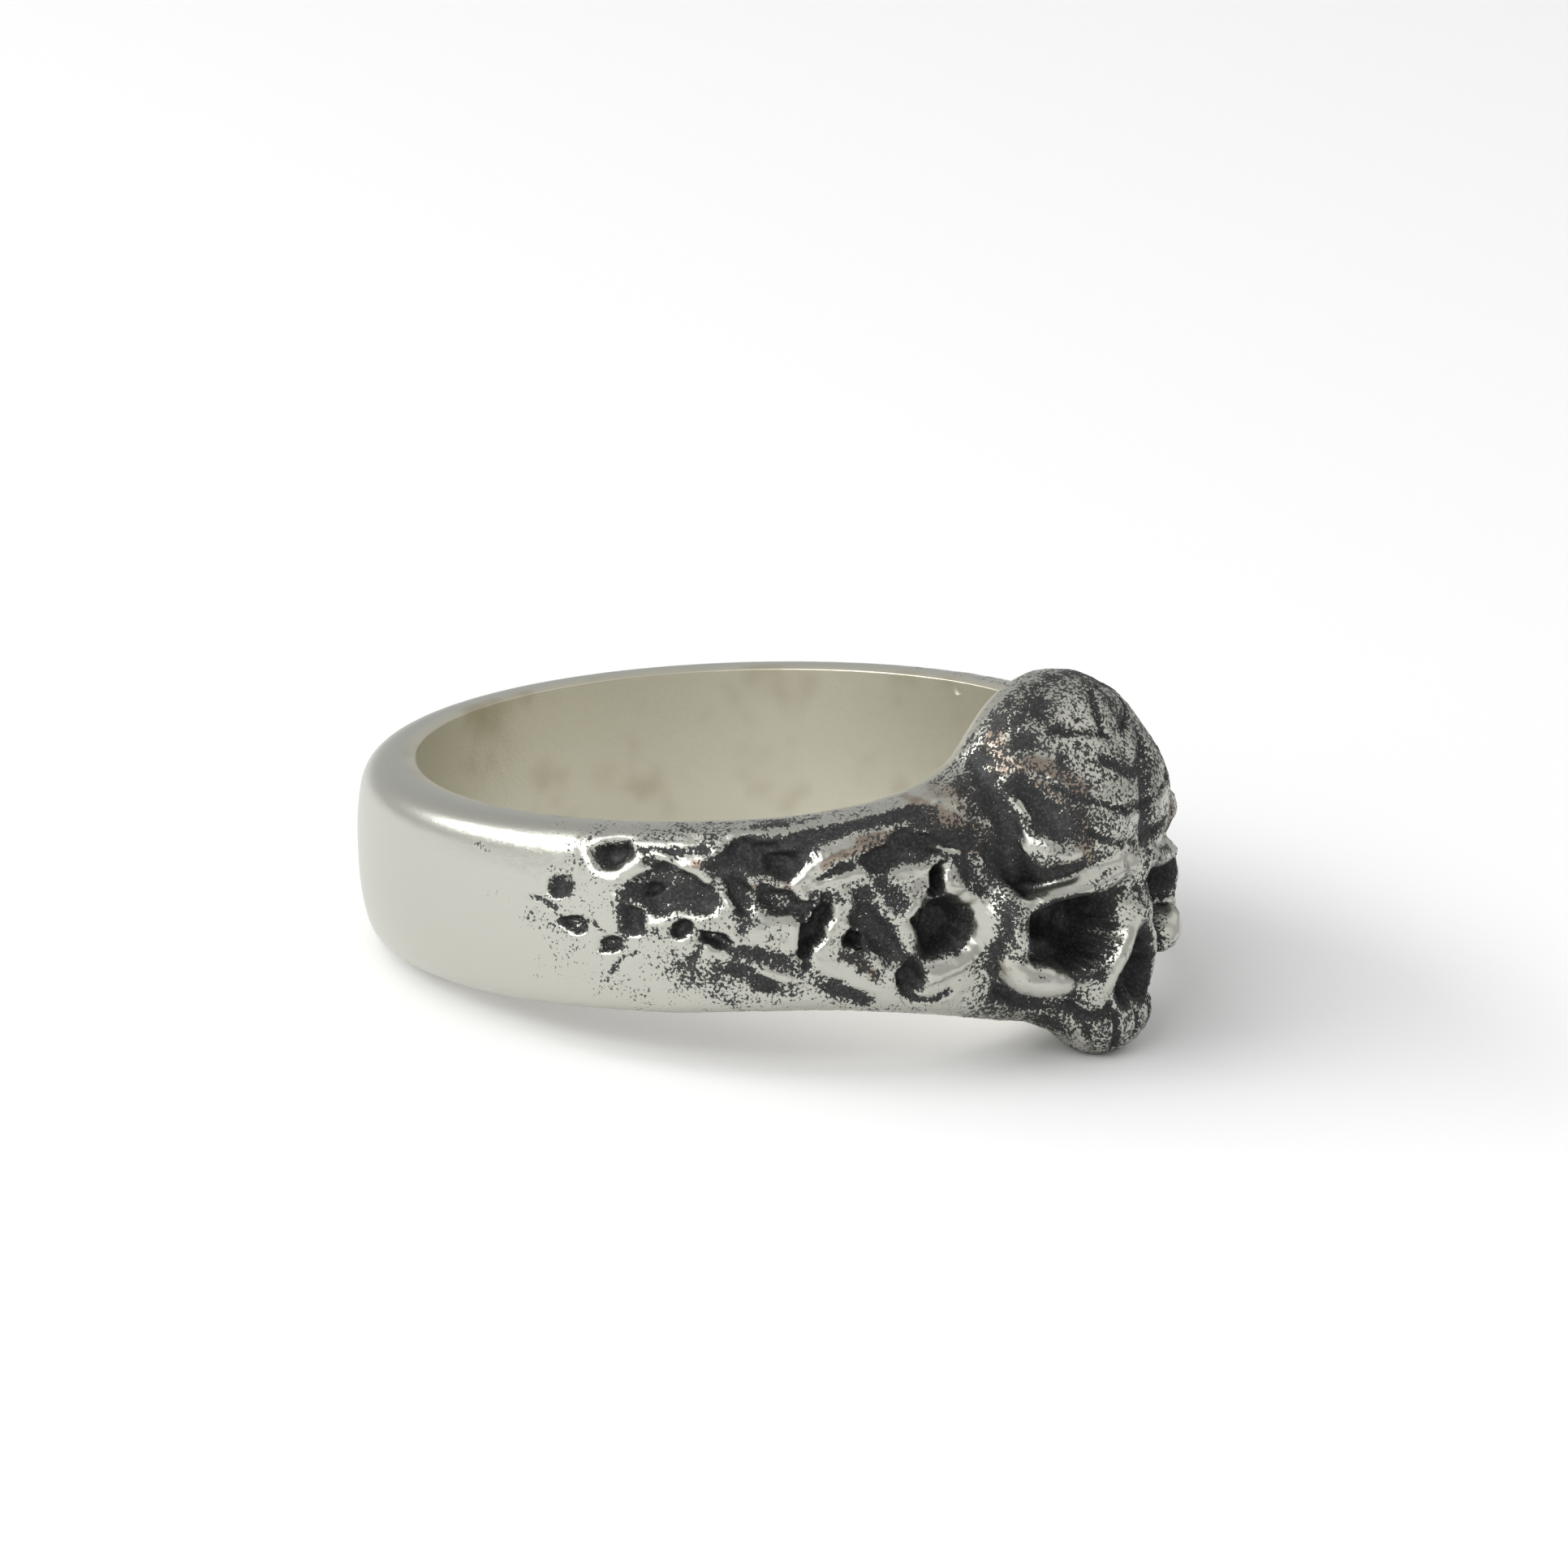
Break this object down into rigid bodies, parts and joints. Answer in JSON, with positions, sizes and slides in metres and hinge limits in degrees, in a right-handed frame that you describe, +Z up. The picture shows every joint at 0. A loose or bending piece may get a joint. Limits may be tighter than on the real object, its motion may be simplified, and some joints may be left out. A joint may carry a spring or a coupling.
{
  "type": "skull ring",
  "caption": "Cast finger ring with a small skull on the front, pitted shoulders that taper into a plain band, and dark patina in the hollows.",
  "frame": {"origin": "middle of the underside of the box around the ring as it lies on a surface", "axes": "+Z up off the surface, -Y the way the skull faces, +X towards the skull's right hand side"},
  "size_m": [0.0218, 0.0242, 0.0104],
  "materials": {
    "silver": "cast silver, satin in the bore, polished on the high spots and blackened in the hollows"
  },
  "bodies": {
    "root": {"skull_ring": "silver"}
  },
  "joints": []
}
